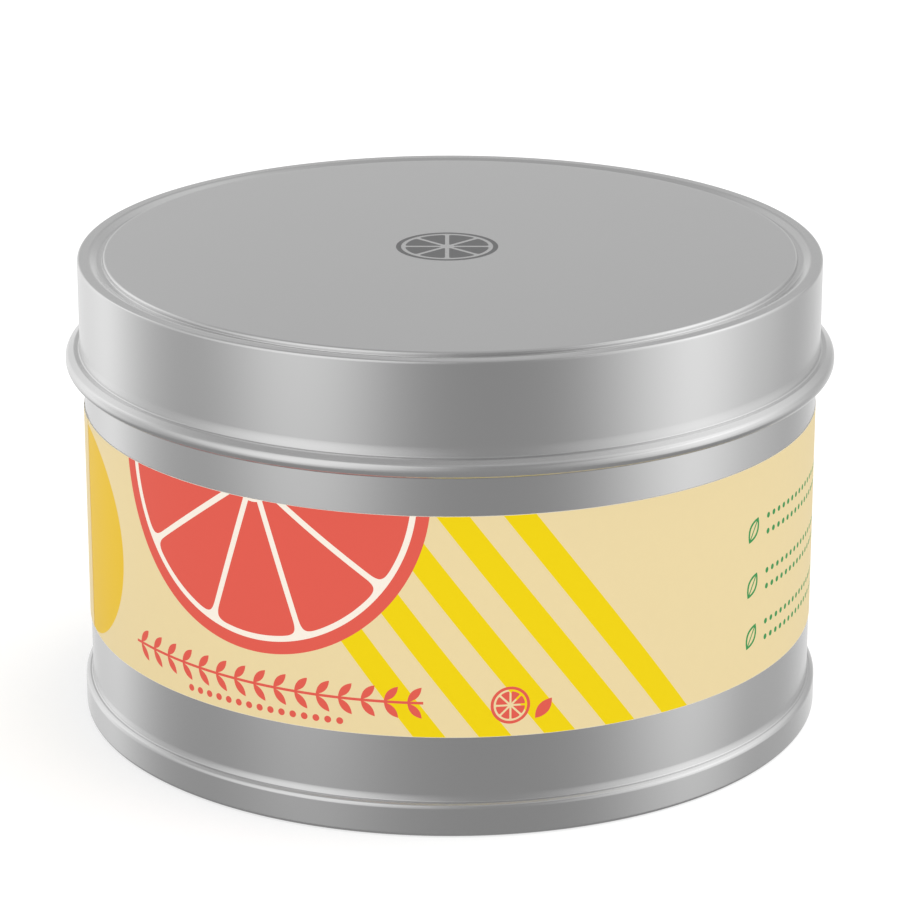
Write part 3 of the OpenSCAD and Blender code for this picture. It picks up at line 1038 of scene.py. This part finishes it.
def soft_box(nodes, direction, azimuth, height, half_width, half_height, soft_width, soft_height, light):
    """Light of one soft box, seen in a direction: its brightness times a fade across and a fade up, each
    of which goes smoothly from 1 to 0 over the soft edge as the angle from the middle grows."""
    a, e = math.radians(azimuth), math.radians(height)
    middle = (math.sin(a) * math.cos(e), -math.cos(a) * math.cos(e), math.sin(e))
    beside = (math.cos(a), math.sin(a), 0.0)
    above = (-math.sin(a) * math.sin(e), math.cos(a) * math.sin(e), math.cos(e))

    def along(axis):
        return nodes.add("VectorMath", {"operation": "DOT_PRODUCT"}, {0: direction, 1: axis}, "Value")

    ahead = along(middle)
    for axis, half, soft in ((beside, half_width, soft_width), (above, half_height, soft_height)):
        off = abs(nodes.math("ARCTAN2", along(axis), ahead))
        limits = {1: math.radians(half - soft), 2: math.radians(half + soft), 3: 1.0, 4: 0.0}
        fade = {"interpolation_type": "SMOOTHSTEP"}
        light = nodes.add("MapRange", fade, {0: off, **limits}) * light
    return light * (ahead > 0.0)


class CANDLE_OT_studio(bpy.types.Operator):
    """Camera, pale floor, soft light, and the lamp that makes the shadow on the floor"""

    bl_idname = "candle.studio"
    bl_label = "Studio"

    def execute(self, context):
        scene = context.scene
        studio = scene.studio_settings
        scene.view_settings.view_transform = "Standard"

        camera = bpy.data.cameras.new("camera")
        camera.lens = studio.lens
        camera.sensor_width = 36.0
        camera.clip_start, camera.clip_end = 0.01, 20.0
        stand = bpy.data.objects.new("camera", camera)
        stand.location = (0.0, -studio.distance, studio.height)
        stand.rotation_euler = (math.pi / 2 - studio.tilt, 0.0, 0.0)
        scene.collection.objects.link(stand)
        scene.camera = stand

        self.light(scene, studio, self.floor(scene, studio))
        return {"FINISHED"}

    def floor(self, scene, studio):
        """A pale floor, clear from below: it glows a little, so that it stays white and keeps only the soft
        shadow."""
        reach, drop = 4.0, 0.02 * MM
        corners = [(-reach, -reach, 0), (reach, -reach, 0), (reach, reach, 0), (-reach, reach, 0)]
        mesh = bpy.data.meshes.new("floor")
        mesh.from_pydata(corners, [], [(0, 1, 2, 3)])
        floor = bpy.data.objects.new("floor", mesh)
        floor.location.z = -drop
        floor.visible_glossy = False
        scene.collection.objects.link(floor)
        material = bpy.data.materials.new("pale_floor")
        nodes = Nodes(material)
        matt = nodes.add("BsdfDiffuse", inputs={"Color": (*[studio.floor_share] * 3, 1.0)})
        glow = nodes.add("Emission", inputs={"Color": (1.0, 1.0, 1.0, 1.0), "Strength": studio.floor_glow})
        both = nodes.add("AddShader", inputs={0: matt, 1: glow})
        behind = nodes.add("NewGeometry", output="Backfacing")
        clear = nodes.add("BsdfTransparent")
        nodes.surface(nodes.add("MixShader", inputs={0: behind, 1: both, 2: clear}))
        mesh.materials.append(material)
        return floor

    def light(self, scene, studio, floor):
        """Even light for the colours, a white ground for the camera, soft boxes for what the tinplate
        mirrors, and a lamp that lights only the floor."""
        world = bpy.data.worlds.new("studio")
        scene.world = world
        nodes = Nodes(world)
        direction = nodes.add("TexCoord", output="Generated")
        boxes = STUDIO_DARK
        for box in SOFT_BOXES:
            boxes = soft_box(nodes, direction, *box) + boxes
        seen, mirrored = (nodes.add("LightPath", output=ray) for ray in ("Is Camera Ray", "Is Glossy Ray"))
        plain = seen + (1.0 - seen) * studio.even_light
        strength = mirrored * boxes + (1.0 - mirrored) * plain
        sky = nodes.add("Background", inputs={"Color": (1.0, 1.0, 1.0, 1.0), "Strength": strength})
        nodes.add("OutputWorld", inputs={"Surface": sky})
        # Light paths are told apart only where the surfaces sample the world themselves
        world.cycles.sampling_method = "NONE"

        lamp = bpy.data.lights.new("lamp", "SUN")
        lamp.energy = studio.lamp
        lamp.angle = studio.lamp_size
        holder = bpy.data.objects.new("lamp", lamp)
        holder.rotation_euler = (studio.lamp_tilt, 0.0, studio.lamp_turn)
        holder.visible_glossy = False
        scene.collection.objects.link(holder)
        lit = bpy.data.collections.new("lit_by_lamp")
        lit.objects.link(floor)
        holder.light_linking.receiver_collection = lit


class CANDLE_PT_pieces(bpy.types.Panel):
    """Pieces of the candle in the sidebar"""

    bl_idname = "CANDLE_PT_pieces"
    bl_label = "Citronella tin candle"
    bl_space_type = "VIEW_3D"
    bl_region_type = "UI"
    bl_category = "Candle"

    def draw(self, context):
        for operator in OPERATORS:
            self.layout.operator(operator.bl_idname)


GROUPS = {
    "tin_sizes": TinSizes,
    "lid_sizes": LidSizes,
    "label_sizes": LabelSizes,
    "wax_sizes": WaxSizes,
    "candle_colours": Colours,
    "studio_settings": StudioSettings,
}
OPERATORS = (
    CANDLE_OT_studio,
    CANDLE_OT_lid,
    CANDLE_OT_wall,
    CANDLE_OT_bottom,
    CANDLE_OT_label,
    CANDLE_OT_wax,
    CANDLE_OT_wick,
)


def register():
    for group in GROUPS.values():
        bpy.utils.register_class(group)
    for operator in OPERATORS:
        bpy.utils.register_class(operator)
    bpy.utils.register_class(CANDLE_PT_pieces)
    for name, group in GROUPS.items():
        setattr(bpy.types.Scene, name, PointerProperty(type=group))


def unregister():
    for name in GROUPS:
        delattr(bpy.types.Scene, name)
    bpy.utils.unregister_class(CANDLE_PT_pieces)
    for operator in reversed(OPERATORS):
        bpy.utils.unregister_class(operator)
    for group in reversed(GROUPS.values()):
        bpy.utils.unregister_class(group)


def main():
    register()
    for operator in OPERATORS:
        group, name = operator.bl_idname.split(".")
        getattr(getattr(bpy.ops, group), name)()


if __name__ == "__main__":
    main()
